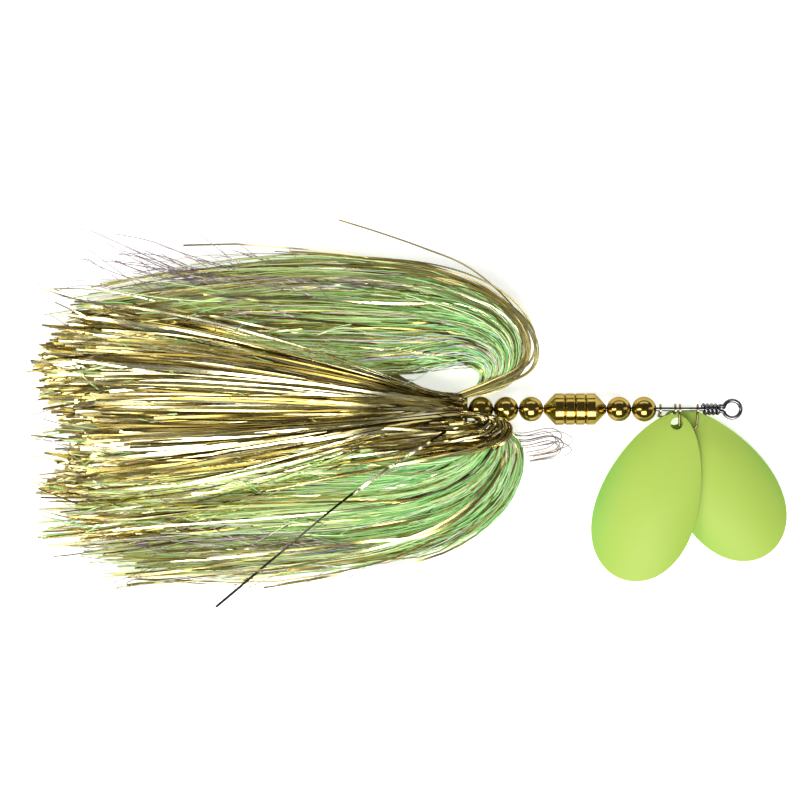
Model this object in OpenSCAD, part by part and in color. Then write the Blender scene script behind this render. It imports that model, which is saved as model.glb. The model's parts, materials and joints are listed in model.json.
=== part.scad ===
// In-line spinnerbait with two cupped blades on clevises, a row of beads and
// a weighted barrel on a wire shaft, and a long reverse-tied tinsel skirt that
// hides two treble hooks. Millimetres. The origin is the centre of the line-tie
// eye. +X points forward, the way the lure swims, +Z is up, and the lure lies
// on a flat surface at z = -rest_h.

/* [Shaft] */
// Diameter of the stainless shaft wire
wire_d = 1.3; // [1.0:0.1:1.4]
// Centreline diameter of the line-tie eye and of the rear loop
eye_d = 5.5; // [5:0.1:6]
// Turns of wire wrapped behind each eye
wrap_turns = 4; // [3:1:5]
// Distance from the line-tie eye to the rear loop, centre to centre
shaft_len = 158; // [158:1:170]
// Height of the shaft above the surface that the lure lies on
rest_h = 8.5; // [8.5:0.1:10]

/* [Beads and barrel] */
// Diameter of a round brass bead
bead_d = 7.9; // [7:0.1:7.9]
// Distance between the centres of neighbouring beads
bead_pitch = 7.95; // [7.95:0.05:8]
// Diameter of every bore that turns on the shaft
running_bore_d = 1.5; // [1.5:0.05:1.6]
// Diameter of the barrel
barrel_d = 10; // [9:0.5:11]
// Overall length of the barrel
barrel_len = 19.8; // [19:0.1:19.8]
// Length of the cone at each end of the barrel
barrel_cone = 3.6; // [3:0.1:4]
// Grooves turned into the barrel
barrel_grooves = 3; // [2:1:4]
// Diameter of the small brass spacer beads inside the skirt
spacer_d = 5; // [4:0.5:5]

/* [Clevises] */
// Diameter of the bent part of a clevis
clevis_wire_d = 0.8; // [0.7:0.05:0.8]
// Diameter of a clevis's flat ears
ear_d = 3.4; // [3:0.1:3.6]
// Thickness of an ear
ear_t = 0.5; // [0.4:0.05:0.6]
// Radius of the clevis's two bends
clevis_bend = 1.2; // [1:0.1:1.4]

/* [Blades] */
// Length of a blade
blade_len = 55.6; // [52:0.1:56]
// Greatest width of a blade
blade_w = 32.3; // [30:0.1:33]
// Sheet thickness of a blade
blade_t = 0.8; // [0.6:0.1:0.8]
// How far a blade's outline is fuller at its outer end, from 0, an ellipse
blade_egg = 0.225; // [0.1:0.005:0.3]
// Radius of the cup along the blade
cup_r_long = 100; // [95:1:120]
// Radius of the cup across the blade
cup_r_wide = 31; // [30:1:40]
// Diameter of the hole that the clevis goes through
blade_hole_d = 3.8; // [3.6:0.1:4]
// Distance from the blade's narrow end to the centre of its hole
blade_hole_in = 2.9; // [2.8:0.1:3]

/* [Treble hooks] */
// Diameter of the hook wire
hook_wire_d = 1.6; // [1.4:0.1:1.6]
// Distance from the shank's axis to each point
hook_reach = 11.5; // [10:0.5:11.5]
// Length from the centre of the eye to the back of the bend
hook_len = 38; // [34:1:38]
// Length of each point's straight leg
hook_leg = 15; // [12:1:16]

/* [Skirt] */
// Where the tips of the longest strands end, behind the line-tie eye
skirt_end = 216; // [210:1:220]
// Thickness of the layer of gold tinsel that lies over the hooks
tinsel_layer = 3; // [2:0.5:3]

/* [Hidden] */
$fn = 48;
wire_r = wire_d / 2;
eye_r = eye_d / 2;
wrap_r = 0.97 * wire_d;              // centreline radius of a wrap round the shaft
front_wraps_x = -4.65;               // centre of the wrap nearest the line-tie eye
rear_wraps_x = 4.65 - shaft_len;     // centre of the wrap nearest the rear loop

bead_1_x = -27.95;
bead_2_x = bead_1_x - bead_pitch;
barrel_x = -49.85;
bead_3_x = -63.8;
bead_4_x = bead_3_x - bead_pitch;
bead_5_x = bead_4_x - bead_pitch;
groove_pitch = 3.3;
groove_w = 0.9;
groove_depth = 0.4;
cone_tip_d = 2.4;                    // diameter of the barrel's two end faces

spool_x = -84;                       // front face of the spool that holds the skirt
spool_len = 17;
spool_d = 6;
flange_d = 7.6;
flange_t = 1;
thread_x = -85.4;
thread_len = 5;
thread_d = 7.4;
spacer_1_x = -104;
spacer_2_x = -114.6;

ring_x = -109.2;                     // split ring of the front treble hook
ring_wire_d = 0.9;
ring_r = 2.75;
ring_y = 1.55;
hook_eye_r = 2.3;
front_hook_y = ring_y + ring_r;
front_hook_x = ring_x - 0.6;
rear_hook_x = -shaft_len - eye_r - 0.5;

// Each clevis: the middle of its two ears along the shaft, half their spacing,
// the depth of its bottom bar from the shaft, and how far it leans from straight
// down towards the blades' side.
front_clevis_x = -13.7;
front_clevis_half = 2.8;
front_clevis_depth = 6.7;
front_clevis_lean = 66;
rear_clevis_x = -20.35;
rear_clevis_half = 2.35;
rear_clevis_depth = 7.9;
rear_clevis_lean = 18;

// Where each blade's hole is, and how the blade is turned: [pitch, roll, yaw].
front_blade_at = [-17.4, -4.65, -1.5];
front_blade_turn = [5.15, -6.8, -19.7];
rear_blade_at = [-17.9, -3.15, -5.2];
rear_blade_turn = [2.3, 0, 35.1];

// Routes of the bundles that lie beside the shaft: centre x and y, half width
// across the route, and half height. Each lies on the surface where it can.
green_left_route = [
    [-88, 4.8, 1.4, 1.6], [-82, 9.6, 2.2, 2.4], [-75.5, 13.2, 3.4, 3.6],
    [-72.2, 19.2, 4.6, 5.2], [-76, 26.4, 5.4, 6.4], [-86, 31.6, 6.0, 7.0],
    [-102, 34.6, 6.4, 7.2], [-125, 36.2, 6.8, 7.0], [-150, 36.4, 7.0, 6.6],
    [-178, 35.0, 7.0, 5.2], [-204, 32.0, 6.0, 3.2]];
olive_left_route = [
    [-86.0, 4.1, 0.5, 0.9], [-80, 6.0, 0.8, 1.3], [-71.5, 8.6, 1.0, 2.4],
    [-66.0, 16.8, 1.2, 4.0], [-67.8, 28.0, 1.4, 5.4], [-79, 38.0, 1.5, 6.2],
    [-98, 43.6, 1.6, 6.4], [-124, 46.0, 1.6, 6.0], [-150, 46.4, 1.6, 5.2],
    [-176, 45.0, 1.5, 4.0]];
green_right_route = [
    [-88, -4.8, 1.4, 1.6], [-82, -9.6, 2.4, 2.4], [-74.8, -13.4, 3.8, 3.6],
    [-71.6, -19.6, 5.0, 5.2], [-76, -27.6, 6.0, 6.4], [-88, -33.8, 6.8, 7.0],
    [-105, -38.0, 7.4, 7.2], [-130, -40.6, 7.6, 7.0], [-155, -41.6, 7.8, 6.4],
    [-182, -42.6, 7.6, 5.0], [-208, -43.6, 6.6, 3.2]];

// The layer of gold tinsel: x, centre y, half width and height of its top.
gold_route = [
    [-89.4, 0, 5.4, 5.2], [-97, 0, 8.2, 7.6], [-106, 0, 13.2, 11.6],
    [-118, 0, 19.0, 15.6], [-132, 0, 23.6, 18.2], [-150, -0.5, 25.6, 19.0],
    [-170, -1, 26.8, 18.4], [-190, -1.5, 27.4, 17.2], [-204, -2, 27.2, 15.2],
    [-skirt_end, -2, 25.6, 6.5]];

brass = [0.83, 0.66, 0.24];
steel = [0.62, 0.63, 0.64];
chartreuse = [0.76, 0.88, 0.36];

// ---- shared shapes ----

module ring(r, d) {
    rotate_extrude() translate([r, 0]) circle(d = d);
}

module along_x(x, len, d) {
    translate([x, 0, 0]) rotate([0, 90, 0]) cylinder(d = d, h = len);
}

// One stretch of wraps: rings side by side round the shaft.
module wraps(x, step) {
    for (i = [0 : wrap_turns - 1])
        translate([x + i * step, 0, 0]) rotate([0, 90, 0]) ring(wrap_r, wire_d);
}

// A round bead on the shaft, with a bore through its poles.
module bead(x, d) {
    difference() {
        translate([x, 0, 0]) sphere(d = d);
        along_x(x - d, 2 * d, running_bore_d);
    }
}

// A closed tube swept along a route in the XY plane. Each row of the route is
// [x, y, half width, half height]; the section is an ellipse cut off flat where
// it meets the surface that the lure lies on.
sides = 14;
function heading(r, i) =
    let (a = r[max(i - 1, 0)], b = r[min(i + 1, len(r) - 1)])
    atan2(b[1] - a[1], b[0] - a[0]);
function centre_z(row) = max(row[3] - rest_h, -1.2 * row[3] + 1.4);
function tube_ring(r, i) =
    let (row = r[i], h = heading(r, i))
    [for (k = [0 : sides - 1])
        let (a = 360 * k / sides, across = row[2] * cos(a))
        [row[0] - across * sin(h), row[1] + across * cos(h),
            max(min(centre_z(row), 0) + row[3] * sin(a), -rest_h)]];
// Points between the rows, on a smooth curve through them.
function curve(a, b, c, d, t) =
    0.5 * (2 * b + (c - a) * t + (2 * a - 5 * b + 4 * c - d) * t * t
        + (3 * b - a - 3 * c + d) * t * t * t);
function smooth(r, n) =
    [for (i = [0 : len(r) - 2], k = [0 : n - 1])
        curve(r[max(i - 1, 0)], r[i], r[i + 1], r[min(i + 2, len(r) - 1)], k / n),
        r[len(r) - 1]];
function reversed(list) = [for (i = [len(list) - 1 : -1 : 0]) list[i]];
// Triangles between two neighbouring rings of m points.
function band(i, m) =
    [for (k = [0 : m - 1])
        let (a = i * m + k, b = i * m + (k + 1) % m)
        each [[a, b + m, b], [a, a + m, b + m]]];

// The closed end of a loft: one polygon, or a strip of quads where each ring
// goes along a thin layer and back.
function cap(m, thin) = thin
    ? [for (k = [0 : m / 2 - 2]) [k, k + 1, m - 2 - k, m - 1 - k]]
    : [[for (k = [0 : m - 1]) k]];

module loft(rings, thin = false) {
    m = len(rings[0]);
    n = len(rings);
    polyhedron(
        points = [for (r = rings) each r],
        faces = [
            each cap(m, thin),
            for (i = [0 : n - 2]) each band(i, m),
            for (f = cap(m, thin)) [for (k = reversed(f)) (n - 1) * m + k]]);
}

module bundle(route) {
    r = smooth(route, 3);
    loft([for (i = [0 : len(r) - 1]) tube_ring(r, i)]);
}

// ---- shaft ----

// The wire: a straight shaft, the line-tie eye in front, the loop for the rear
// hook behind, and the wraps that close each of them.
module shaft_wire() color(steel) {
    ring(eye_r, wire_d);
    translate([-shaft_len, 0, 0]) ring(eye_r, wire_d);
    along_x(eye_r - shaft_len, shaft_len - 2 * eye_r, wire_d);
    wraps(front_wraps_x, -wire_d * 0.98);
    wraps(rear_wraps_x, wire_d * 0.98);
}

// ---- clevises and blades ----

// A stirrup of round wire that hangs from two flat ears. Drawn hanging straight
// down from the shaft, centred on x = 0.
module clevis(half, depth) {
    straight = depth - clevis_bend;
    for (side = [-1, 1]) {
        difference() {
            union() {
                along_x(side * half - ear_t / 2, ear_t, ear_d);
                translate([side * half, 0, -straight])
                    cylinder(d = clevis_wire_d, h = straight - wire_r - 0.5);
            }
            along_x(side * half - ear_t, 2 * ear_t, running_bore_d);
        }
        translate([side * (half - clevis_bend), 0, -straight])
            rotate([90, 0, 0]) rotate([0, 0, side > 0 ? 270 : 180])
                rotate_extrude(angle = 90) translate([clevis_bend, 0]) circle(d = clevis_wire_d);
    }
    along_x_bar(half - clevis_bend, depth);
}

module along_x_bar(half, depth) {
    translate([0, 0, -depth]) along_x(-half, 2 * half, clevis_wire_d);
}

module front_clevis() color(brass)
    translate([front_clevis_x, 0, 0]) rotate([-front_clevis_lean, 0, 0])
        clevis(front_clevis_half, front_clevis_depth);

module rear_clevis() color(brass)
    translate([rear_clevis_x, 0, 0]) rotate([-rear_clevis_lean, 0, 0])
        clevis(rear_clevis_half, rear_clevis_depth);

// Outline of a blade, an egg with its narrow end at the origin and its length
// along -Y.
outline_points = 72;
egg_peak = max([for (i = [0 : 180]) sin(i) * (1 - blade_egg * cos(i))]);
function egg(a) = [
    blade_w / 2 / egg_peak * sin(a) * (1 - blade_egg * cos(a)),
    -blade_len / 2 * (1 - cos(a))];
blade_crown = 0.549 * blade_len;     // where the cup is deepest, from the narrow end

// Skin of a ring with two radii of curvature, crown at the origin, convex side up.
module cup_solid(inset) {
    translate([0, 0, -cup_r_long]) rotate([0, 90, 0])
        rotate_extrude($fn = 180) translate([cup_r_long - cup_r_wide, 0])
            circle(r = cup_r_wide - inset, $fn = 120);
}

crown_rise = cup_r_long - sqrt(pow(cup_r_long, 2) - pow(blade_crown - blade_hole_in, 2));

// A cupped blade, drawn with the top of its hole at the origin.
module blade() {
    translate([0, blade_hole_in, 0]) difference() {
        intersection() {
            translate([0, 0, crown_rise - 12])
                linear_extrude(14) polygon([for (i = [0 : outline_points - 1])
                    egg(360 * (i + 0.5) / outline_points)]);
            translate([0, -blade_crown, crown_rise]) difference() {
                cup_solid(0);
                cup_solid(blade_t);
            }
        }
        translate([0, -blade_hole_in, -4]) cylinder(d = blade_hole_d, h = 8);
    }
}

module placed_blade(at, turn) {
    translate(at) rotate([0, 0, turn[2]]) rotate([0, turn[1], 0]) rotate([turn[0], 0, 0])
        blade();
}

module front_blade() color(chartreuse) placed_blade(front_blade_at, front_blade_turn);
module rear_blade() color(chartreuse) placed_blade(rear_blade_at, rear_blade_turn);

// ---- beads and barrel ----

module bead_1() color(brass) bead(bead_1_x, bead_d);
module bead_2() color(brass) bead(bead_2_x, bead_d);
module bead_3() color(brass) bead(bead_3_x, bead_d);
module bead_4() color(brass) bead(bead_4_x, bead_d);
module bead_5() color(brass) bead(bead_5_x, bead_d);
module spacer_bead_1() color(brass) bead(spacer_1_x, spacer_d);
module spacer_bead_2() color(brass) bead(spacer_2_x, spacer_d);

// A turned brass weight: a cylinder with a cone at each end and V grooves.
module barrel() color(brass) {
    half = barrel_len / 2;
    r = barrel_d / 2;
    groove_list = [for (i = [0 : barrel_grooves - 1])
        (i - (barrel_grooves - 1) / 2) * groove_pitch];
    translate([barrel_x, 0, 0]) rotate([0, 90, 0]) rotate_extrude() polygon([
        [running_bore_d / 2, -half],
        [cone_tip_d / 2, -half],
        [r, barrel_cone - half],
        for (g = groove_list) each [
            [r, g - groove_w / 2], [r - groove_depth, g], [r, g + groove_w / 2]],
        [r, half - barrel_cone],
        [cone_tip_d / 2, half],
        [running_bore_d / 2, half]]);
}

// ---- skirt ----

// The spool that is fixed on the shaft and that the skirt is tied round.
module skirt_spool() color(brass) difference() {
    union() {
        along_x(spool_x - spool_len, spool_len, spool_d);
        along_x(spool_x - flange_t, flange_t, flange_d);
        along_x(spool_x - spool_len, flange_t, flange_d);
    }
    along_x(spool_x - spool_len - 1, spool_len + 2, wire_d + 0.02);
}

// The lashing that ties the strands down on the spool.
module thread_wrap() color([0.16, 0.13, 0.08]) difference() {
    along_x(thread_x - thread_len, thread_len, thread_d);
    along_x(thread_x - thread_len - 1, thread_len + 2, spool_d + 0.02);
}

module green_skirt_left() color([0.45, 0.78, 0.42]) bundle(green_left_route);
module green_skirt_right() color([0.45, 0.78, 0.42]) bundle(green_right_route);
module olive_skirt_left() color([0.55, 0.5, 0.2]) bundle(olive_left_route);

// The gold tinsel: a layer that arches over the spool and the hooks, and stands
// on the surface along both sides.
arch_points = 18;
function arch(x, y, w, top) =
    [for (k = [0 : arch_points])
        let (a = 180 * k / arch_points)
        [x, y + w * cos(a), -rest_h + (top + rest_h) * pow(sin(a), 0.8)]];
function layer_at(row) = min(tinsel_layer, 0.3 * row[2]);
module gold_skirt() color([0.72, 0.62, 0.22]) {
    r = smooth(gold_route, 2);
    loft([for (row = r)
        concat(
            reversed(arch(row[0], row[1], row[2], row[3])),
            arch(row[0], row[1], row[2] - layer_at(row), row[3] - layer_at(row)))],
        thin = true);
}

// ---- treble hooks ----

// A two-turn split ring round the shaft that carries the front hook.
module front_hook_ring() color(steel)
    for (side = [-1, 1])
        translate([ring_x + side * 0.46 * ring_wire_d, ring_y, 0])
            rotate([0, 90, 0]) ring(ring_r, ring_wire_d);

// A brazed treble hook, drawn with the centre of its eye at the origin and its
// shank along -X. The eye's hole is vertical when flat is true, else crosswise.
module treble_hook(flat) {
    r = hook_wire_d / 2;
    spread = 0.62 * hook_wire_d;             // from the axis to each of the three shanks
    braze_d = 0.7 * hook_wire_d;             // metal that fills the middle of the three
    shank_x = -hook_eye_r - 1;
    bend_r = (hook_reach - spread) / 2;
    bend_x = bend_r + r - hook_len;
    rotate([flat ? 0 : 90, 0, 0]) ring(hook_eye_r, hook_wire_d * 0.94);
    along_x(bend_x + 1, -hook_eye_r - bend_x - 1, braze_d);
    for (a = [0, 120, 240]) rotate([a, 0, 0]) {
        translate([0, 0, spread]) along_x(bend_x, shank_x - bend_x, hook_wire_d);
        translate([bend_x, 0, spread + bend_r]) rotate([90, 0, 0]) rotate([0, 0, 90])
            rotate_extrude(angle = 180) translate([bend_r, 0]) circle(d = hook_wire_d);
        translate([0, 0, hook_reach]) {
            along_x(bend_x, hook_leg - 4, hook_wire_d);
            translate([bend_x + hook_leg - 4, 0, 0]) rotate([0, 90, 0])
                cylinder(d1 = hook_wire_d, d2 = 0.2, h = 4);
            translate([bend_x + hook_leg - 4.5, 0, 0]) rotate([0, -150, 0])
                cylinder(d1 = hook_wire_d * 0.7, d2 = 0.2, h = 2);
        }
    }
}

module front_treble_hook() color(steel)
    translate([front_hook_x, front_hook_y, 0]) treble_hook(true);

module rear_treble_hook() color(steel)
    translate([rear_hook_x, 0, 0]) treble_hook(false);

shaft_wire();
front_clevis();
rear_clevis();
front_blade();
rear_blade();
bead_1();
bead_2();
barrel();
bead_3();
bead_4();
bead_5();
skirt_spool();
thread_wrap();
green_skirt_left();
green_skirt_right();
olive_skirt_left();
gold_skirt();
spacer_bead_1();
spacer_bead_2();
front_hook_ring();
front_treble_hook();
rear_treble_hook();
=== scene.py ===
"""Looks of the in-line spinner: swept wire, lashing, tinsel strands, materials, light and camera.

Lengths are in millimetres in the row's frame until mesh_object() turns them into metres.
"""
import json
import math

import bpy
import numpy as np
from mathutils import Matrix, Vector


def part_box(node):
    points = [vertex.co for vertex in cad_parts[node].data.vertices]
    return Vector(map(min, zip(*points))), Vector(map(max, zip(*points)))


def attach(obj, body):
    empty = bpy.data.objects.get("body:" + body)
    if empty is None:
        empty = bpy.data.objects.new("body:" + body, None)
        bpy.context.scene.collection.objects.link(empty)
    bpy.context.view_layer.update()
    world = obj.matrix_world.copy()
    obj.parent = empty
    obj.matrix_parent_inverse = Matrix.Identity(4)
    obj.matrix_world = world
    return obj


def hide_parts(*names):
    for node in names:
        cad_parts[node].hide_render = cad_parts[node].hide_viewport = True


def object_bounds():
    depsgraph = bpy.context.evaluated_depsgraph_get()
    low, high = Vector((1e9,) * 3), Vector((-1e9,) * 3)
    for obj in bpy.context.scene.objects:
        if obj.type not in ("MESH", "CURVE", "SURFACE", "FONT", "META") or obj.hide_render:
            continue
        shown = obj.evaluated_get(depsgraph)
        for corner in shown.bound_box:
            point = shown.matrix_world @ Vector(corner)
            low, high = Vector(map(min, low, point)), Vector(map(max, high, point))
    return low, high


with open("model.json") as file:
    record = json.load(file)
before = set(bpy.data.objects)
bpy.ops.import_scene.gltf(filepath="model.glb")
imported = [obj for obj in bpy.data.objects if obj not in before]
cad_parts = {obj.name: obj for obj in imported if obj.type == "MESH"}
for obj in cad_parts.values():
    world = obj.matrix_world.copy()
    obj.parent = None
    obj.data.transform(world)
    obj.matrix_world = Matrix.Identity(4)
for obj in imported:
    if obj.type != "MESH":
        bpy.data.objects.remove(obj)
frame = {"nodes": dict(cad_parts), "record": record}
cad_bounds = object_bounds()
nodes = frame["nodes"]
MM = 0.001


def corners(node):
    """Lowest and highest corner of a CAD node, in millimetres."""
    low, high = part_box(node)
    return np.array(low) / MM, np.array(high) / MM


# The lashing and the surface that the lure lies on.
FLOOR_Z = cad_bounds[0].z / MM
THREAD_BACK = corners("thread_wrap")[0][0]
THREAD_FRONT = corners("thread_wrap")[1][0]
THREAD_R = corners("thread_wrap")[1][2]

# The shaft wire: its diameter, its eyes, and the close wraps behind each eye.
WIRE_D = 1.3
EYE_R = corners("shaft_wire")[1][0] - WIRE_D / 2
REAR_LOOP_X = corners("shaft_wire")[0][0] + WIRE_D / 2 + EYE_R
WRAP_R = 0.98 * WIRE_D
WRAP_TURNS = 4
WRAP_START = 4.1

# The skirt: where its strands end, and the thickness and fold angle of flat tinsel.
TIP_X = -222
TINSEL_THICK = 0.07
TINSEL_CREASE = math.radians(40)


# ---- meshes ----

def mesh_object(name, points, quads, crease=None, **attributes):
    """A mesh from millimetre points and quads, with one float attribute per keyword."""
    mesh = bpy.data.meshes.new(name)
    mesh.vertices.add(len(points))
    mesh.vertices.foreach_set("co", (points * MM).astype(np.float32).ravel())
    mesh.loops.add(quads.size)
    mesh.loops.foreach_set("vertex_index", quads.astype(np.int32).ravel())
    mesh.polygons.add(len(quads))
    mesh.polygons.foreach_set("loop_start", np.arange(0, quads.size, 4, dtype=np.int32))
    mesh.polygons.foreach_set("use_smooth", np.ones(len(quads), bool))
    mesh.update(calc_edges=True)
    mesh.validate()
    for key, values in attributes.items():
        layer = mesh.attributes.new(key, "FLOAT", "POINT")
        layer.data.foreach_set("value", values.astype(np.float32).ravel())
    if crease:
        mesh.set_sharp_from_angle(angle=crease)
    piece = bpy.data.objects.new(name, mesh)
    bpy.context.scene.collection.objects.link(piece)
    return piece


def unit(vectors):
    return vectors / np.maximum(np.linalg.norm(vectors, axis=-1, keepdims=True), 1e-9)


def spline(points, t):
    """Smooth curves through rows of control points, read at t, counted in control points."""
    last = points.shape[-2] - 1
    index = np.clip(t.astype(int), 0, last - 1)
    f = (t - index)[..., None]
    before = 2 * points[..., :1, :] - points[..., 1:2, :]
    after = 2 * points[..., -1:, :] - points[..., -2:-1, :]
    padded = np.concatenate([before, points, after], axis=-2)
    a, b, c, d = (np.take_along_axis(padded, (index + k)[..., None], axis=-2) for k in range(4))
    return 0.5 * (2 * b + (c - a) * f + (2 * a - 5 * b + 4 * c - d) * f**2
                  + (3 * b - a - 3 * c + d) * f**3)


def tube_faces(strands, rings, sides):
    """Quads of closed tubes: their walls, and one quad over each end."""
    ring = np.arange(sides)
    nxt = (ring + 1) % sides
    base = np.arange(rings - 1)[:, None] * sides
    walls = np.stack([base + ring, base + nxt, base + sides + nxt, base + sides + ring], axis=-1)
    last = (rings - 1) * sides
    ends = np.array([[3, 2, 1, 0], [last, last + 1, last + 2, last + 3]])
    one = np.concatenate([walls.reshape(-1, 4), ends])
    return (one[None] + np.arange(strands)[:, None, None] * rings * sides).reshape(-1, 4)


def strand_mesh(name, paths, width, thickness, turn, tint, crease=None):
    """Thin closed strands of a four-cornered section, one width for each strand.

    turn is each point's roll, in radians."""
    strands, rings = paths.shape[:2]
    along = unit(np.gradient(paths, axis=1))
    up = np.array([0.0, 0.0, 1.0])
    flat = unit(np.cross(up, along))
    lift = np.cross(along, flat)
    side = flat * np.cos(turn)[..., None] + lift * np.sin(turn)[..., None]
    face = np.cross(along, side)
    half_w = (width / 2)[..., None]
    half_t = thickness / 2
    section = np.stack([
        paths + side * half_w - face * half_t,
        paths + side * half_w + face * half_t,
        paths - side * half_w + face * half_t,
        paths - side * half_w - face * half_t], axis=2)
    share = np.broadcast_to(np.linspace(0, 1, rings)[None, :, None], (strands, rings, 4))
    colour = np.broadcast_to(tint[:, None, None], (strands, rings, 4))
    points = section.reshape(-1, 3)
    points[:, 2] = np.maximum(points[:, 2], FLOOR_Z + 0.02)
    return mesh_object(name, points, tube_faces(strands, rings, 4), crease=crease,
                       tint=colour, along=share)


def swept_wire(name, path, diameter, sides=14):
    """One round wire along a path of many points, with square-cut ends."""
    along = unit(np.gradient(path, axis=0))
    side = unit(np.cross(along[0], [0.3, 0.5, 0.8]))
    rings = []
    for point, direction in zip(path, along):
        side = unit(side - direction * np.dot(side, direction))
        across = np.cross(direction, side)
        angle = np.linspace(0, 2 * math.pi, sides, endpoint=False)[:, None]
        rings.append(point + (side * np.cos(angle) + across * np.sin(angle)) * diameter / 2)
    points = np.array(rings).reshape(-1, 3)
    ring = np.arange(sides)
    nxt = (ring + 1) % sides
    base = np.arange(len(path) - 1)[:, None] * sides
    walls = np.stack([base + ring, base + nxt, base + sides + nxt, base + sides + ring], axis=-1)
    fan = np.array([[0, sides - k - 1, sides - k - 2, sides - k - 3] for k in range(0, sides - 2, 2)])
    last = (len(path) - 1) * sides
    tail = last + fan[:, ::-1]
    quads = np.concatenate([walls.reshape(-1, 4), fan, tail])
    return mesh_object(name, points, quads, crease=math.radians(50))


# ---- materials ----

def new_material(name):
    """A material with its tree, its links and its Principled shader."""
    made = bpy.data.materials.new(name)
    made.use_nodes = True
    tree = made.node_tree
    return made, tree.nodes, tree.links, tree.nodes["Principled BSDF"]


def ramp(tree_nodes, stops):
    """A colour ramp with a stop at each (place, colour)."""
    made = tree_nodes.new("ShaderNodeValToRGB")
    elements = made.color_ramp.elements
    while len(elements) < len(stops):
        elements.new(0.5)
    for element, (place, colour) in zip(elements, stops):
        element.position = place
        element.color = (*colour, 1)
    return made


def noise(tree_nodes, links, scale, detail, stretch=(1, 1, 1)):
    """Noise in the object's own space, drawn out along the axes by stretch."""
    where = tree_nodes.new("ShaderNodeTexCoord")
    mapping = tree_nodes.new("ShaderNodeMapping")
    mapping.inputs["Scale"].default_value = stretch
    made = tree_nodes.new("ShaderNodeTexNoise")
    made.inputs["Scale"].default_value = scale
    made.inputs["Detail"].default_value = detail
    links.new(where.outputs["Object"], mapping.inputs["Vector"])
    links.new(mapping.outputs["Vector"], made.inputs["Vector"])
    return made


def roughness_from(tree_nodes, links, source, shader, low, high):
    """Roughness between low and high, as source goes from 0 to 1."""
    spread = tree_nodes.new("ShaderNodeMapRange")
    spread.inputs["To Min"].default_value = low
    spread.inputs["To Max"].default_value = high
    links.new(source, spread.inputs["Value"])
    links.new(spread.outputs["Result"], shader.inputs["Roughness"])


def bump_from(tree_nodes, links, source, shader, strength, depth):
    """Bump from source; depth is in millimetres."""
    bump = tree_nodes.new("ShaderNodeBump")
    bump.inputs["Strength"].default_value = strength
    bump.inputs["Distance"].default_value = depth * MM
    links.new(source, bump.inputs["Height"])
    links.new(bump.outputs["Normal"], shader.inputs["Normal"])


def metal(name, dark, light, low, high, grain=(1, 1, 1), edge=1.0):
    """Bare metal: two tones, uneven polish and fine handling marks. edge dims its grazing shine."""
    made, tree_nodes, links, shader = new_material(name)
    shader.inputs["Metallic"].default_value = 1
    shader.inputs["Specular Tint"].default_value = (edge, edge * 0.98, edge * 0.9, 1)
    tone = noise(tree_nodes, links, 160, 4)
    colours = ramp(tree_nodes, [(0.3, dark), (0.7, light)])
    links.new(tone.outputs["Fac"], colours.inputs["Fac"])
    links.new(colours.outputs["Color"], shader.inputs["Base Color"])
    marks = noise(tree_nodes, links, 900, 4, grain)
    roughness_from(tree_nodes, links, marks.outputs["Fac"], shader, low, high)
    bump_from(tree_nodes, links, marks.outputs["Fac"], shader, 0.05, 0.05)
    return made


def blade_paint():
    """Chartreuse powder paint on both faces, with painted shade: darker and greener where the cup
    turns down at its rim.
    """
    made, tree_nodes, links, shader = new_material("chartreuse_paint")
    where = tree_nodes.new("ShaderNodeTexCoord")
    split = tree_nodes.new("ShaderNodeSeparateXYZ")
    links.new(where.outputs["Normal"], split.inputs["Vector"])
    # Painted shade: the colour turns darker and greener as the surface tilts away from level, towards
    # the rim.
    painted_rim_shade = ramp(tree_nodes, [(0.80, (0.27, 0.53, 0.085)), (0.92, (0.40, 0.57, 0.095)),
                              (0.99, (0.435, 0.59, 0.105))])
    facing = tree_nodes.new("ShaderNodeMath")
    facing.operation = "ABSOLUTE"
    links.new(split.outputs["Z"], facing.inputs[0])
    links.new(facing.outputs["Value"], painted_rim_shade.inputs["Fac"])
    cloud = noise(tree_nodes, links, 45, 3)
    shade = ramp(tree_nodes, [(0.3, (0.94, 0.96, 0.9)), (0.7, (1, 1, 1))])
    links.new(cloud.outputs["Fac"], shade.inputs["Fac"])
    mix = tree_nodes.new("ShaderNodeMix")
    mix.data_type = "RGBA"
    mix.blend_type = "MULTIPLY"
    mix.inputs["Factor"].default_value = 1
    links.new(painted_rim_shade.outputs["Color"], mix.inputs[6])
    links.new(shade.outputs["Color"], mix.inputs[7])
    links.new(mix.outputs[2], shader.inputs["Base Color"])
    skin = noise(tree_nodes, links, 1500, 2)
    roughness_from(tree_nodes, links, skin.outputs["Fac"], shader, 0.42, 0.52)
    bump_from(tree_nodes, links, skin.outputs["Fac"], shader, 0.08, 0.03)
    shader.inputs["Specular IOR Level"].default_value = 0.22
    return made


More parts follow.
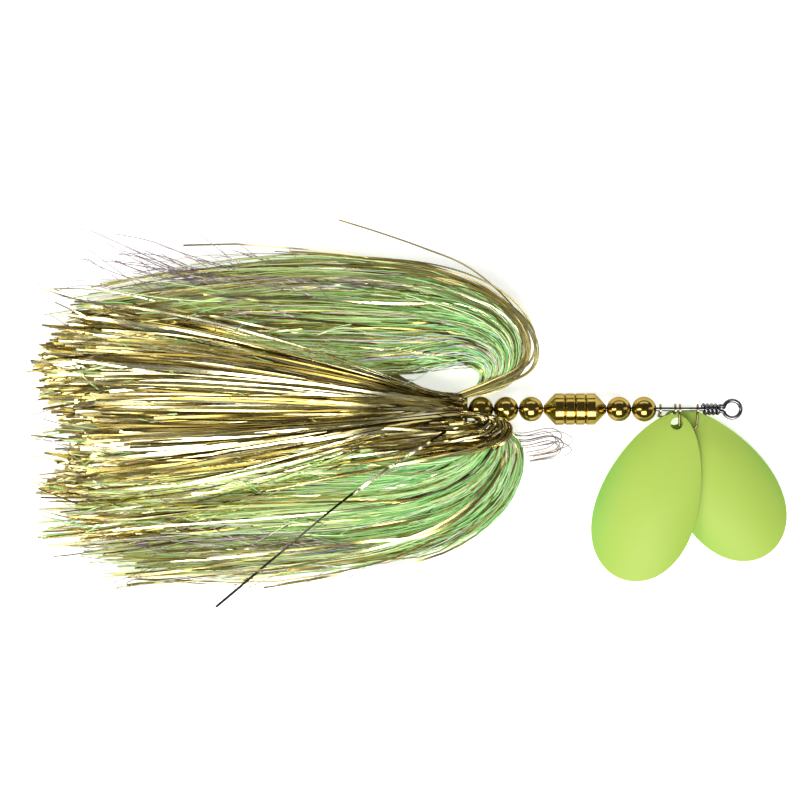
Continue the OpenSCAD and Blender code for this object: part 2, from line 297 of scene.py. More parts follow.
def tinsel(name, stops, tip_stops, metallic, low, high, painted_glow=0.0, crinkle=0.3, root_shade_stops=None):
    """Strand material: colours for each strand's run and tip, painted shade at the root and a painted
    glow where given, and a crinkled sheen.
    """
    made, tree_nodes, links, shader = new_material(name)
    shader.inputs["Metallic"].default_value = metallic
    tint = tree_nodes.new("ShaderNodeAttribute")
    tint.attribute_name = "tint"
    along = tree_nodes.new("ShaderNodeAttribute")
    along.attribute_name = "along"
    colours = ramp(tree_nodes, stops)
    tips = ramp(tree_nodes, tip_stops)
    links.new(tint.outputs["Fac"], colours.inputs["Fac"])
    links.new(tint.outputs["Fac"], tips.inputs["Fac"])
    towards_tip = tree_nodes.new("ShaderNodeMapRange")
    towards_tip.inputs["From Min"].default_value = 0.72
    links.new(along.outputs["Fac"], towards_tip.inputs["Value"])
    mix = tree_nodes.new("ShaderNodeMix")
    mix.data_type = "RGBA"
    links.new(towards_tip.outputs["Result"], mix.inputs[0])
    links.new(colours.outputs["Color"], mix.inputs[6])
    links.new(tips.outputs["Color"], mix.inputs[7])
    colour = mix.outputs[2]
    # Painted shade: near the root the colour blends into darker root colours, standing in for the
    # shadow where the strands crowd at the lashing.
    if root_shade_stops:
        root_shade_colours = ramp(tree_nodes, root_shade_stops)
        links.new(tint.outputs["Fac"], root_shade_colours.inputs["Fac"])
        root_shade_mask = tree_nodes.new("ShaderNodeMapRange")
        root_shade_mask.inputs["From Min"].default_value = 0.02
        root_shade_mask.inputs["From Max"].default_value = 0.12
        links.new(along.outputs["Fac"], root_shade_mask.inputs["Value"])
        root_shaded_colour = tree_nodes.new("ShaderNodeMix")
        root_shaded_colour.data_type = "RGBA"
        links.new(root_shade_mask.outputs["Result"], root_shaded_colour.inputs[0])
        links.new(root_shade_colours.outputs["Color"], root_shaded_colour.inputs[6])
        links.new(colour, root_shaded_colour.inputs[7])
        colour = root_shaded_colour.outputs[2]
    links.new(colour, shader.inputs["Base Color"])
    # Painted glow: the strand colour is also emitted, standing in for light that passes through the
    # translucent strands.
    if painted_glow:
        links.new(colour, shader.inputs["Emission Color"])
        shader.inputs["Emission Strength"].default_value = painted_glow
    grain = noise(tree_nodes, links, 420, 3, (0.35, 1, 1))
    roughness_from(tree_nodes, links, grain.outputs["Fac"], shader, low, high)
    bump_from(tree_nodes, links, grain.outputs["Fac"], shader, crinkle, 0.15)
    return made


polished_brass = metal("polished_brass", (0.30, 0.21, 0.045), (0.48, 0.35, 0.09), 0.10, 0.22, edge=0.5)
clevis_brass = metal("clevis_brass", (0.13, 0.11, 0.055), (0.34, 0.29, 0.14), 0.18, 0.34, edge=0.35)
stainless = metal("stainless_wire", (0.13, 0.13, 0.13), (0.30, 0.30, 0.31), 0.12, 0.26,
                  grain=(0.15, 1, 1), edge=0.2)
hook_steel = metal("hook_steel", (0.10, 0.09, 0.09), (0.26, 0.25, 0.25), 0.10, 0.24, edge=0.3)
paint = blade_paint()
# Gold strands: the middle stops are the tinsel's gold; the near-black and cream ends of each strand's
# tint are painted reflection, for strands that mirror the dark room or the key light. The root stops
# are painted shade at the lashing.
gold = tinsel("gold_tinsel", [
    (0.0, (0.09, 0.06, 0.012)), (0.3, (0.36, 0.27, 0.06)), (0.6, (0.80, 0.68, 0.24)),
    (1.0, (1.0, 0.95, 0.66))], [
    (0.0, (0.24, 0.17, 0.04)), (0.4, (0.82, 0.68, 0.24)), (1.0, (1.0, 0.95, 0.62))],
    1.0, 0.14, 0.32, crinkle=0.12, root_shade_stops=[
        (0.0, (0.02, 0.012, 0.004)), (0.45, (0.12, 0.08, 0.02)), (0.62, (0.80, 0.66, 0.26))])
# Green strands: a painted glow of 0.22 stands in for light through the translucent fibres.
green = tinsel("green_tinsel", [
    (0.0, (0.15, 0.46, 0.12)), (0.35, (0.30, 0.66, 0.22)), (0.7, (0.52, 0.80, 0.34)),
    (1.0, (0.80, 0.90, 0.56))], [
    (0.0, (0.26, 0.34, 0.07)), (0.5, (0.50, 0.62, 0.20)), (1.0, (0.82, 0.82, 0.42))],
    0.12, 0.25, 0.45, painted_glow=0.22)
olive = tinsel("olive_tinsel", [
    (0.0, (0.16, 0.12, 0.03)), (0.5, (0.34, 0.29, 0.09)), (1.0, (0.58, 0.54, 0.26))], [
    (0.0, (0.12, 0.09, 0.02)), (0.5, (0.36, 0.29, 0.07)), (1.0, (0.66, 0.56, 0.22))],
    0.55, 0.2, 0.4)
# Pearl strands: a painted glow of 0.1 stands in for light through the fibres.
pearl = tinsel("pearl_tinsel", [
    (0.0, (0.50, 0.34, 0.62)), (0.15, (0.78, 0.68, 0.82)), (0.5, (0.84, 0.90, 0.76)),
    (0.85, (0.50, 0.76, 0.72)), (1.0, (0.92, 0.86, 0.58))], [
    (0.0, (0.66, 0.44, 0.62)), (0.5, (0.84, 0.86, 0.74)), (1.0, (0.60, 0.78, 0.64))],
    0.1, 0.15, 0.35, painted_glow=0.1)
curl_violet = tinsel("curl_violet", [(0.0, (0.20, 0.14, 0.22)), (1.0, (0.36, 0.30, 0.26))], [
    (0.0, (0.30, 0.20, 0.34)), (1.0, (0.50, 0.38, 0.24))], 0.3, 0.25, 0.4)


def lashing_thread():
    """Dark waxed thread with a fibrous surface."""
    made, tree_nodes, links, shader = new_material("lashing_thread")
    fuzz = noise(tree_nodes, links, 2500, 4, (0.4, 1, 1))
    colours = ramp(tree_nodes, [(0.35, (0.012, 0.009, 0.005)), (0.75, (0.055, 0.042, 0.022))])
    links.new(fuzz.outputs["Fac"], colours.inputs["Fac"])
    links.new(colours.outputs["Color"], shader.inputs["Base Color"])
    roughness_from(tree_nodes, links, fuzz.outputs["Fac"], shader, 0.4, 0.7)
    bump_from(tree_nodes, links, fuzz.outputs["Fac"], shader, 0.4, 0.1)
    return made


thread = lashing_thread()
dark_tinsel = metal("dark_tinsel", (0.010, 0.009, 0.006), (0.035, 0.03, 0.02), 0.15, 0.3)

SLOT_MATERIAL = {
    "stainless_wire": stainless, "clevis_brass": clevis_brass, "polished_brass": polished_brass,
    "blade_paint": paint, "hook_steel": hook_steel, "lashing_thread": thread,
    "green_tinsel": green, "olive_tinsel": olive, "gold_tinsel": gold}


def finish_piece(piece, slot, *replaced, material=None, body="shaft"):
    """Gives a new piece its material, the slot's unless one is given, puts it on its body, and hides
    the CAD nodes that it stands for.
    """
    piece.data.materials.append(material or SLOT_MATERIAL[slot])
    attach(piece, body)
    if replaced:
        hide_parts(*replaced)


# ---- CAD nodes that stay ----

def dress_cad_nodes():
    """Better materials, smooth shading and a rounded rim on the nodes whose shape is right."""
    for row in frame["record"]["subparts"]:
        node = nodes[row["node"]]
        node.data.materials.clear()
        node.data.materials.append(SLOT_MATERIAL[row["material_slot"]])
        node.data.shade_smooth()
        node.data.set_sharp_from_angle(angle=math.radians(32))
        if row["material_slot"] == "blade_paint":
            rim = node.modifiers.new("rim", "BEVEL")
            rim.width = 0.22 * MM
            rim.segments = 3
            rim.limit_method = "ANGLE"
            rim.angle_limit = math.radians(50)


# ---- shaft wire ----

def loop_points(turns_to_body):
    """An eye of wire and its wraps, drawn for the front end; turns_to_body is the sign of x."""
    straight = [[-12, 0, 0], [-8, 0, 0], [-5.2, -0.05, 0], [-3.5, -0.6, 0.05]]
    start = math.radians(202)
    sweep = math.radians(326)
    steps = 26
    circle = []
    for k in range(steps + 1):
        angle = start + sweep * k / steps
        circle.append([EYE_R * math.cos(angle), EYE_R * math.sin(angle), 0.15 + 0.55 * k / steps])
    lead = [[-3.25, 0.95, 0.98]]
    helix = []
    for k in range(WRAP_TURNS * 16 + 1):
        angle = math.radians(40) + 2 * math.pi * k / 16
        helix.append([-WRAP_START - WIRE_D * 0.985 * k / 16, WRAP_R * math.cos(angle),
                      WRAP_R * math.sin(angle)])
    tag = [[helix[-1][0] - 0.35, WRAP_R * 1.05, WRAP_R * 0.2 + 0.35]]
    points = np.array(straight + circle + lead + helix + tag)
    points[:, 0] *= turns_to_body
    return points


def shaft_wire():
    """The shaft as one wire: rear tag, wraps and eye, the straight, front eye, wraps and tag."""
    front = loop_points(1)
    back = loop_points(-1)
    back[:, 0] += REAR_LOOP_X
    back[:, 1] *= -1
    steps = round((front[0, 0] - back[0, 0]) / 4)
    rod = np.linspace(back[0], front[0], steps + 1)[1:-1]
    controls = np.concatenate([back[::-1], rod, front])
    t = np.linspace(0, len(controls) - 1, 6 * len(controls))
    path = spline(controls, t)
    finish_piece(swept_wire("wire_shaft", path, WIRE_D), "stainless_wire", "shaft_wire")


def lashing():
    """Thread wound over the tied strands, close turns in three passes."""
    turns = 15
    passes = 3
    steps = 22
    count = turns * passes * steps
    angle = np.linspace(0, 2 * math.pi * turns * passes, count)
    sweep = np.abs(((np.linspace(0, passes, count) + 1) % 2) - 1)
    x = THREAD_FRONT - 0.2 - (THREAD_FRONT - THREAD_BACK - 0.4) * sweep
    layer = THREAD_R - 0.35 + 0.18 * np.linspace(0, 1, count)
    path = np.stack([x, layer * np.cos(angle), layer * np.sin(angle)], axis=1)
    finish_piece(swept_wire("lashing", path, 0.34, 6), "lashing_thread", "thread_wrap")


# ---- skirt ----

# The gold layer's arch: x, centre y, half width and height of its top.
ARCH = np.array([
    [-89.4, 0, 5.4, 5.2], [-97, 0, 8.2, 7.6], [-106, 0, 13.2, 11.6], [-118, 0, 19.0, 15.6],
    [-132, 0, 23.6, 18.2], [-150, -0.5, 25.6, 19.0], [-170, -1, 26.8, 18.4],
    [-190, -1.5, 27.4, 17.2], [-204, -2, 27.2, 15.2], [-216, -2, 25.6, 6.5],
    [-232, -2, 27.0, -1.0]])


def arch_at(x):
    """Centre y, half width and top of the arch at x."""
    order = ARCH[::-1]
    return tuple(np.interp(x, order[:, 0], order[:, k]) for k in (1, 2, 3))


def arch_height(x, y):
    """Height of the arch's outer skin over (x, y), or the floor beside it."""
    centre, half, top = arch_at(x)
    off = np.clip((y - centre) / half, -1, 1)
    rise = np.power(np.maximum(1 - off**2, 0), 0.4)
    return FLOOR_Z + (top - FLOOR_Z) * rise * (x < ARCH[0, 0])


def skirt_top(x, y):
    """Height of the skirt's upper skin over (x, y)."""
    lobes = np.interp(x, [-222, -185, -120, -84], [-6, 1, 5.5, 1])
    return np.maximum(arch_height(x, y), np.where(np.abs(y + 2) < 44, lobes, -4))


def even_out(heights, passes):
    """Rounds off the steps in each strand's heights, in place."""
    for _ in range(passes):
        heights[:, 1:-1] = (heights[:, :-2] + 2 * heights[:, 1:-1] + heights[:, 2:]) / 4


def rolls(rng, strands, rings, spread, twist, waver=0.6, lean=0.0):
    """Roll of each strand along its length: a start, a steady twist, and a waver at its tip."""
    share = np.linspace(0, 1, rings)[None]
    start = rng.normal(lean, spread, (strands, 1))
    rate = rng.normal(0, twist, (strands, 1))
    phase = rng.uniform(0, 2 * math.pi, (strands, 1))
    wave = np.sin(phase + share * rng.uniform(5, 16, (strands, 1)))
    return start + rate * share + waver * (0.1 + share**3) * wave


def lobe(rng, strands, rings, inner, outer, across, depth, reach, stray):
    """Paths through a reverse-tied lobe, between its inner and its outer guide.

    across is 0 at the inner guide and 1 at the outer; depth is -1 at the underside and 1 on top;
    reach is each strand's share of the whole length; stray scales how far it leaves its line."""
    inner = np.array(inner, float)
    outer = np.array(outer, float)
    knots = len(inner)
    run = np.linspace(0, 1, knots)[None]
    cross = rng.normal(0, 0.3, (strands, 1)) * run**1.6
    phase = rng.uniform(0, 6.3, (strands, 1))
    sway = 0.05 * run * np.sin(phase + run * rng.uniform(6, 14, (strands, 1)))
    s = np.abs(across[:, None] + cross + sway)
    s = np.where(s > 1, 2 - s, s).clip(0, 1)[..., None]
    guide = inner[None] * (1 - s) + outer[None] * s
    controls = np.empty((strands, knots, 3))
    controls[..., :2] = guide[..., :2]
    round_off = np.sqrt(np.clip(1 - (2 * across - 1) ** 2, 0.12, 1))[:, None]
    controls[..., 2] = guide[..., 2] + depth[:, None] * round_off * guide[..., 3]
    drift = rng.standard_t(4, (strands, 1, 3)).clip(-3.2, 3.2)
    drift = drift * run[..., None] ** 2
    wander = rng.normal(0, 1, (strands, knots, 3)) * run[..., None]
    controls += drift * np.array([0, stray * 2.2, stray])
    controls += wander * np.array([0.3, 0.35, 0.3]) * stray
    t = np.linspace(0, 1, rings)[None] * (knots - 1) * reach[:, None]
    paths = spline(controls, t)
    over = arch_height(paths[..., 0], paths[..., 1])
    lift = over + 0.4 + rng.uniform(0, 2.2, (strands, 1))
    settled = np.clip((-92 - paths[..., 0]) / 14, 0, 1)
    buried = (over > FLOOR_Z + 0.5) & (paths[..., 2] < lift)
    raised = paths[..., 2] + (lift - paths[..., 2]) * settled
    paths[..., 2] = np.where(buried, raised, paths[..., 2])
    return paths


# Guides of the lobes: x, y, middle height and half height, from the lashing to the tips.
LEFT_OUTER = [
    [-86, 3.6, 0.5, 0.8], [-76.5, 5.9, -1, 1.6], [-67.6, 10.8, -2.2, 3.6], [-64.6, 18.7, -2.6, 5.2],
    [-66.8, 26.7, -2.0, 6.0], [-73.8, 33.3, -1.5, 6.4], [-83.5, 37.6, -1.3, 6.8],
    [-96, 40.6, -1.3, 6.8], [-112, 42.2, -1.5, 6.6], [-140, 42.2, -2.2, 6.0],
    [-175, 37.5, -4.4, 4.0], [-222, 27.5, -6.4, 2.0]]
LEFT_INNER = [
    [-86.5, 3.2, 0.5, 0.8], [-83.0, 5.2, -0.8, 1.4], [-80.4, 8.4, -1.8, 2.4], [-80.0, 11.4, -2.2, 3.4],
    [-82.0, 14.0, -2.2, 4.0], [-85.5, 15.6, -2.0, 4.6], [-90, 16.0, -1.8, 5.0],
    [-97, 15.8, -1.5, 5.6], [-106, 15.4, -1.5, 6.0], [-132, 16.5, -2.0, 6.0],
    [-170, 19.0, -4.4, 4.0], [-222, 14.0, -6.4, 2.0]]
RIGHT_OUTER = [
    [-86, -3.8, 0.5, 0.8], [-77.2, -5.6, -1, 1.6], [-69.8, -8.0, -2.2, 3.2], [-66.4, -13.0, -2.6, 5.2],
    [-66.8, -20.0, -2.0, 6.0], [-71.5, -29.4, -1.5, 6.4], [-81.0, -37.4, -1.3, 6.8],
    [-95, -42.8, -1.3, 6.8], [-114, -45.6, -1.5, 6.6], [-146, -47.0, -2.2, 6.0],
    [-180, -48.0, -4.4, 4.0], [-214, -49.0, -6.4, 2.0]]
RIGHT_INNER = [
    [-87, -3.4, 1.5, 1.2], [-84.5, -5.0, 1.5, 1.8], [-84.0, -6.6, 1.0, 2.4], [-86.0, -8.4, 1.0, 3.2],
    [-90, -9.6, 1.5, 4.0], [-96, -10.6, 2.0, 4.4], [-104, -11.4, 3.0, 4.4],
    [-114, -12.2, 4.0, 4.4], [-130, -13.2, 4.0, 4.4], [-154, -14.6, 3.0, 4.4],
    [-184, -16.4, 0, 4.0], [-218, -17.5, -5.0, 2.0]]


def lobe_pieces(name, seed, slot, count, layers, guides, look, replaced=()):
    """A lobe's strands of one kind, in layers that stay under the export's triangle limit."""
    rng = np.random.default_rng(seed)
    rings = 24
    for layer in range(layers):
        across = rng.beta(*look["across"], count)
        depth = rng.uniform(-1, 1, count)
        reach = 1 - rng.gamma(2.6, look["ragged"] * 0.65, count).clip(0, 0.35)
        reach -= 0.03 * (1 + np.sin(across * 21 + layer))
        paths = lobe(rng, count, rings, *guides, across, depth, reach, look["stray"])
        width = rng.uniform(*look["width"], (count, 1))
        turn = rolls(rng, count, rings, look["spread"], look["twist"])
        tint = rng.uniform(0, 1, count)
        piece = strand_mesh(f"{name}_{layer + 1}", paths, width, look["thick"], turn, tint,
                            crease=look.get("crease"))
        stands_for = replaced if layer == 0 else ()
        finish_piece(piece, slot, *stands_for, material=look.get("material"))


# Looks of the strands. across: the two numbers of a beta distribution from the inner guide to the
# outer one; ragged: unevenness of the tips; stray: see lobe(); width and thick: in millimetres;
# spread and twist: see rolls(); crease: fold angle of flat tinsel.
FINE = {"across": (1.15, 1.2), "ragged": 0.055, "stray": 1.4, "width": (0.16, 0.34),
        "thick": 0.14, "spread": 1.2, "twist": 2.0}
BROWN = {**FINE, "across": (1.3, 1.3), "ragged": 0.04, "stray": 1.8, "width": (0.3, 0.55),
         "thick": TINSEL_THICK, "crease": TINSEL_CREASE, "spread": 0.7, "twist": 1.0}
BRIGHT = {**BROWN, "ragged": 0.05, "stray": 2.2, "width": (0.45, 0.9), "twist": 0.5}
PEARLY = {**FINE, "stray": 2.6, "width": (0.16, 0.3), "material": pearl}
EDGE = {**FINE, "across": (7, 1.1), "ragged": 0.09, "stray": 0.9, "width": (0.3, 0.5)}
HEAD = {**BRIGHT, "across": (1, 1.2), "ragged": 0.14, "stray": 1.5, "width": (0.5, 0.9),
        "spread": 0.9, "twist": 2.0}


def gold_fan(name, seed, count, sector, depth, replaced):
    """Flat tinsel that fans straight back over the hooks, in a layer that follows the arch.

    sector is the range of angles round the arch; depth is the range below its outer skin."""
    rng = np.random.default_rng(seed)
    rings = 22
    angle = rng.uniform(*sector, count)[:, None]
    reach = 1 - rng.gamma(2.2, 0.035, (count, 1)).clip(0, 0.4)
    share = np.linspace(0, 1, rings)[None]
    start = THREAD_FRONT - rng.uniform(0, 6, (count, 1))
    end = -216 + 6 * np.cos(angle * 3 + 0.6)
    x = start + (end - start) * share * reach
    centre, half, top = arch_at(x)
    layer = rng.uniform(*depth, (count, 1))
    lean = rng.standard_t(3, (count, 1)).clip(-5, 5) * 0.13
    ripple = rng.normal(0, 0.03, (count, 1)) * np.sin(share * rng.uniform(3, 9, (count, 1)))
    a = np.clip(angle + lean * share**1.5 + ripple, 0.04, math.pi - 0.04)
    y = centre + (half - layer) * np.cos(a)
    z = FLOOR_Z + (top - layer - FLOOR_Z) * np.power(np.sin(a), 0.8)
    z = z + rng.gamma(2, 0.7, (count, 1)) * share**3
    root_a = angle * 1.5 - math.pi / 4
    root_r = THREAD_R + 0.1 + rng.uniform(0, 0.9, (count, 1))
    grow = 1 + (start - x) * 0.02
    away = np.clip((start - x) / 27, 0, 1) ** 0.85
    y = root_r * grow * np.cos(root_a) * (1 - away) + y * away
    z = root_r * grow * np.sin(root_a) * (1 - away) + z * away
    paths = np.stack([x, y, np.maximum(z, FLOOR_Z + 0.2)], axis=-1)
    turn = rolls(rng, count, rings, 0.5, 0.4, 0.4)
    widths = rng.uniform(0.6, 1.1, (count, 1))
    tint = rng.uniform(0, 1, count)
    piece = strand_mesh(name, paths, widths, TINSEL_THICK, turn, tint, crease=TINSEL_CREASE)
    finish_piece(piece, "gold_tinsel", *replaced)


# Guides of the gold tinsel that bulges forward beside the last two beads.
HEAD_OUTER = [
    [-86, -2.6, 3.0, 1.0], [-78, -2.6, 4.4, 1.8], [-72.0, -3.6, 4.6, 2.2], [-69.8, -6.6, 4.6, 2.4],
    [-72.6, -10.4, 5.0, 2.4], [-79, -12.4, 5.6, 2.4], [-92, -13.8, 6.6, 2.4],
    [-112, -16.5, 9, 2.4], [-140, -20.0, 9, 2.4], [-176, -25.0, 4, 2.4]]
HEAD_INNER = [
    [-86, -1.0, 4.6, 1.0], [-83, -1.2, 5.4, 1.2], [-80, -1.8, 5.8, 1.6], [-79.6, -3.4, 5.6, 1.8],
    [-82.4, -4.8, 5.6, 1.8], [-88, -5.4, 6.2, 1.8], [-96, -5.8, 7.6, 1.8],
    [-112, -6.5, 12, 1.8], [-140, -8.0, 14, 1.8], [-176, -8.0, 13, 1.8]]


def gold_rays(name, seed, count, tips, width, roll=0.45, lean=-0.12):
    """Flat tinsel that radiates from the lashing over everything, straight and then level.

    tips is the range of y at the tips; roll and lean are the spread and the middle of its roll."""
    rng = np.random.default_rng(seed)
    rings = 22
    share = np.linspace(0, 1, rings)[None]
    start = THREAD_FRONT - rng.uniform(0, 5, (count, 1))
    low, high = tips
    tip = low + (high - low) * rng.beta(1.3, 1.3, (count, 1))
    tuft = 0.05 * (1 - np.sin(tip / 8))
    reach = 1 - tuft - rng.gamma(2.0, 0.05, (count, 1)).clip(0, 0.6)
    x = start + (TIP_X - 2 - start) * share * reach
    gone = (start - x) / (start - TIP_X)
    bow = rng.normal(0, 2.0, (count, 1)) * np.sin(gone * math.pi)
    veer = rng.standard_t(3, (count, 1)).clip(-4, 4) * 2.2 * gone**1.5
    root = rng.normal(0, 1.6, (count, 1)) * (1 - gone)
    y = tip * np.sin(gone * math.pi / 2) + root + bow + veer
    z = skirt_top(x, y) + rng.uniform(0.4, 3.4, (count, 1))
    collar = np.sqrt(np.maximum((THREAD_R + 0.7) ** 2 - y**2, 1))
    near = np.clip((start - x) / 16, 0, 1)
    z = collar * (1 - near) + z * near
    even_out(z, 3)
    paths = np.stack([x, y, z], axis=-1)
    turn = rolls(rng, count, rings, roll, 0.12, 0.25, lean)
    widths = rng.uniform(*width, (count, 1))
    tint = rng.uniform(0, 1, count)
    piece = strand_mesh(name, paths, widths, TINSEL_THICK, turn, tint, crease=TINSEL_CREASE)
    finish_piece(piece, "gold_tinsel")


def flyaways(name, seed, slot, count, x_span, y_span, angle, length, width, material=None):
    """Loose strands that come up out of the skirt and cross the others. angle is (middle, spread)."""
    rng = np.random.default_rng(seed)
    rings = 12
    share = np.linspace(0, 1, rings)[None]
    heading = rng.normal(*angle, (count, 1)).clip(-0.9, 0.9)
    first_x = rng.uniform(*x_span, (count, 1))
    run = np.minimum(rng.uniform(*length, (count, 1)), first_x - TIP_X) * share
    x = first_x - run * np.cos(heading)
    bow = rng.normal(0, 1.5, (count, 1)) * np.sin(share * math.pi)
    y = rng.uniform(*y_span, (count, 1)) + run * np.sin(heading) + bow
    z = skirt_top(x, y) - 2.5 + 5.5 * np.sin(share * rng.uniform(1.2, 2.6, (count, 1)))
    even_out(z, 2)
    paths = np.stack([x, y.clip(-60, 57), z], axis=-1)
    turn = rolls(rng, count, rings, 0.5, 0.3)
    widths = rng.uniform(*width, (count, 1))
    tint = rng.uniform(0.1, 1, count)
    piece = strand_mesh(name, paths, widths, 0.1, turn, tint, crease=TINSEL_CREASE)
    finish_piece(piece, slot, material=material)


def stray(rng, name, slot, guide, spread, width, count=1, material=None, thick=0.1, shortest=1.0,
          tint=(0.3, 0.9)):
    """One loose strand, or a few side by side, along a guide of x, y and z."""
    rings = 40
    controls = np.repeat(np.array(guide, float)[None], count, axis=0)
    knots = controls.shape[1]
    fan = rng.uniform(-1, 1, (count, 1, 3)) * np.linspace(0.25, 1, knots)[None, :, None]
    controls += fan * np.array([1.5, 1, 0.5]) * spread
    t = np.linspace(0, 1, rings)[None] * (knots - 1) * rng.uniform(shortest, 1, (count, 1))
    paths = spline(controls, t)
    widths = width * rng.uniform(0.8, 1.2, (count, 1))
    turn = rolls(rng, count, rings, 0.4, 1.5)
    tints = rng.uniform(*tint, count)
    piece = strand_mesh(name, paths, widths, thick, turn, tints, crease=TINSEL_CREASE)
    finish_piece(piece, slot, material=material)


def strays():
    """Loose strands that stand clear of the skirt, and the curls beside the last bead."""
    rng = np.random.default_rng(41)
    stray(rng, "olive_arc", "olive_tinsel", [
        [-86, 3.2, 1], [-74, 6, 1], [-66, 13, 1], [-64.5, 22, 2], [-71, 34, 3], [-84, 45, 3],
        [-98, 51, 2], [-112, 56, 0], [-125, 60.2, -3]], 0.1, 0.42, thick=0.3)
    stray(rng, "olive_outer_arcs", "olive_tinsel", [
        [-86, 4.3, 1], [-75.5, 8.2, 1], [-65.6, 13.4, 1], [-64, 22, 2], [-70, 32, 3], [-82, 39.5, 3],
        [-98, 44.0, 3], [-120, 46.0, 1], [-150, 48.0, -4]], 3.4, 0.42, 20, thick=0.2, shortest=0.8)
    stray(rng, "dark_long_strand", "lashing_thread", [
        [-91, -7, 10], [-108, -17.6, 20], [-125, -30, 17], [-144, -46, 9], [-164, -63, -4]],
        0.05, 0.62, material=dark_tinsel, thick=0.5)
    stray(rng, "gold_long_strand", "gold_tinsel", [
        [-96, -10.3, 14.2], [-103, -14.4, 19.2], [-110, -19.0, 21.6], [-120, -26.2, 19.8]],
        0.02, 0.95, thick=0.5, tint=(0.96, 1))
    for k in range(9):
        y = rng.uniform(-13, -6)
        out = rng.uniform(7, 15)
        stray(rng, f"curl_{k + 1}", "green_tinsel", [
            [-84, -4.5, 0], [-74, y * 0.8, -1], [-66, y, -2], [-66 + out * 0.7, y + 1.5, -4],
            [-66 + out, y - 1, -6], [-66 + out * 0.8, y - 3.5, -7.6], [-66 + out * 0.2, y - 5, -8]],
            1.2, 0.22, material=curl_violet, thick=0.2)


def skirt():
    """Every bundle of the skirt, from the lobes outwards to the loose strands."""
    left = (LEFT_INNER, LEFT_OUTER)
    right = (RIGHT_INNER, RIGHT_OUTER)
    lobe_pieces("green_fibres_left", 11, "green_tinsel", 1000, 3, left, FINE, ("green_skirt_left",))
    lobe_pieces("green_fibres_right", 12, "green_tinsel", 1000, 4, right, FINE,
                ("green_skirt_right",))
    lobe_pieces("olive_fibres_left", 13, "olive_tinsel", 950, 1, left, BROWN, ("olive_skirt_left",))
    lobe_pieces("olive_edge_left", 14, "olive_tinsel", 70, 1, left, EDGE)
    lobe_pieces("olive_fibres_right", 15, "olive_tinsel", 400, 1, right, BROWN)
    lobe_pieces("gold_strands_left", 16, "gold_tinsel", 220, 1, left, BRIGHT)
    lobe_pieces("gold_strands_right", 17, "gold_tinsel", 420, 1, right, BRIGHT)
    lobe_pieces("pearl_fibres_left", 18, "green_tinsel", 220, 1, left, PEARLY)
    lobe_pieces("pearl_fibres_right", 19, "green_tinsel", 260, 1, right, PEARLY)
    gold_fan("gold_fan_under", 21, 1000, (0.1, 3.04), (0.6, 2.2), ("gold_skirt",))
    gold_rays("gold_rays", 22, 620, (-24, 33), (0.5, 1.0))
    gold_rays("gold_rays_right", 23, 110, (-46, -12), (0.35, 0.7))
    gold_rays("gold_ribbons", 24, 40, (-24, 30), (0.9, 1.4), 0.12, -0.3)
    lobe_pieces("gold_head", 31, "gold_tinsel", 170, 1, (HEAD_INNER, HEAD_OUTER), HEAD)
    flyaways("gold_flyaways", 51, "gold_tinsel", 90, (-190, -110), (-40, 34), (0, 0.17), (20, 60),
             (0.35, 0.7))
    flyaways("green_flyaways", 52, "green_tinsel", 140, (-195, -105), (-40, 36), (0, 0.25),
             (15, 45), (0.25, 0.4))
    flyaways("pearl_flyaways", 53, "green_tinsel", 120, (-195, -100), (-44, 38), (0, 0.4), (12, 40),
             (0.16, 0.26), material=curl_violet)
    flyaways("hairs_left", 54, "green_tinsel", 70, (-180, -90), (38, 42), (0.16, 0.16), (15, 45),
             (0.16, 0.28), material=curl_violet)
    flyaways("hairs_right", 55, "green_tinsel", 60, (-180, -100), (-46, -42), (-0.12, 0.2),
             (12, 40), (0.16, 0.28), material=curl_violet)
    strays()


# ---- stage, light and camera ----

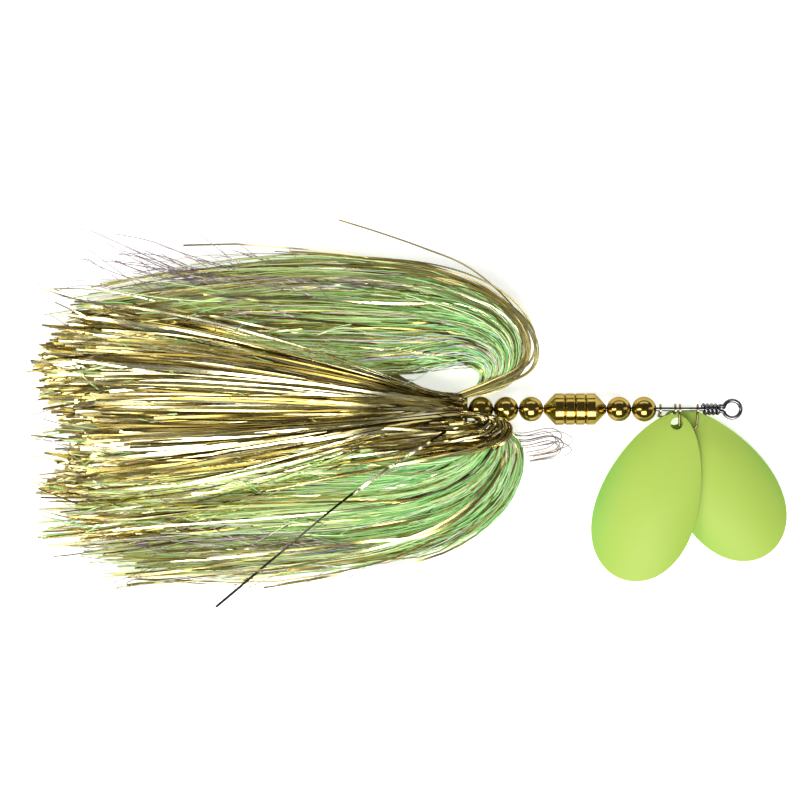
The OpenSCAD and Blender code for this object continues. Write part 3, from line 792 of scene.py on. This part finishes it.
def white_floor():
    """A white floor, wide enough to reach past every view."""
    size = 6000
    points = np.array([[-size, -size, FLOOR_Z], [size, -size, FLOOR_Z], [size, size, FLOOR_Z],
                       [-size, size, FLOOR_Z]], float)
    floor = mesh_object("floor", points, np.array([[0, 1, 2, 3]]))
    made, tree_nodes, links, shader = new_material("white_floor")
    shader.inputs["Base Color"].default_value = (0.9, 0.9, 0.9, 1)
    shader.inputs["Roughness"].default_value = 0.9
    shader.inputs["Specular IOR Level"].default_value = 0.1
    shader.inputs["Emission Color"].default_value = (1, 1, 1, 1)
    shader.inputs["Emission Strength"].default_value = 0.62
    floor.data.materials.append(made)


def softbox(name, place, size, power):
    """A rectangular light at place, in metres, aimed at the middle of the lure."""
    data = bpy.data.lights.new(name, "AREA")
    data.shape = "RECTANGLE"
    data.size, data.size_y = size
    data.energy = power
    lamp = bpy.data.objects.new(name, data)
    lamp.location = place
    aim = Vector((-0.1, 0, 0)) - Vector(place)
    lamp.rotation_euler = aim.to_track_quat("-Z", "Y").to_euler()
    bpy.context.scene.collection.objects.link(lamp)


def light():
    """A dim room and four softboxes."""
    world = bpy.data.worlds.new("studio")
    world.use_nodes = True
    world.node_tree.nodes["Background"].inputs["Color"].default_value = (0.09, 0.088, 0.084, 1)
    bpy.context.scene.world = world
    softbox("key", (-0.1, -0.62, 0.86), (0.8, 0.62), 12)
    softbox("fill", (-0.1, 1.0, 0.42), (1.4, 0.35), 2.5)
    softbox("left", (-0.95, -0.05, 0.75), (0.2, 0.8), 5.5)
    softbox("right", (0.95, 0.1, 0.42), (0.3, 1.0), 1.2)


def camera():
    """Straight down on the lure; the view is view_width wide at the height of the shaft."""
    view_width = 0.254
    centre = (-0.1054, 0.0029)
    data = bpy.data.cameras.new("camera")
    data.lens = 135
    data.sensor_width = 36
    made = bpy.data.objects.new("camera", data)
    made.location = (*centre, view_width * data.lens / data.sensor_width)
    bpy.context.scene.collection.objects.link(made)
    bpy.context.scene.camera = made


camera()
light()
white_floor()
dress_cad_nodes()
shaft_wire()
lashing()
skirt()
bpy.context.scene.view_settings.view_transform = "Standard"
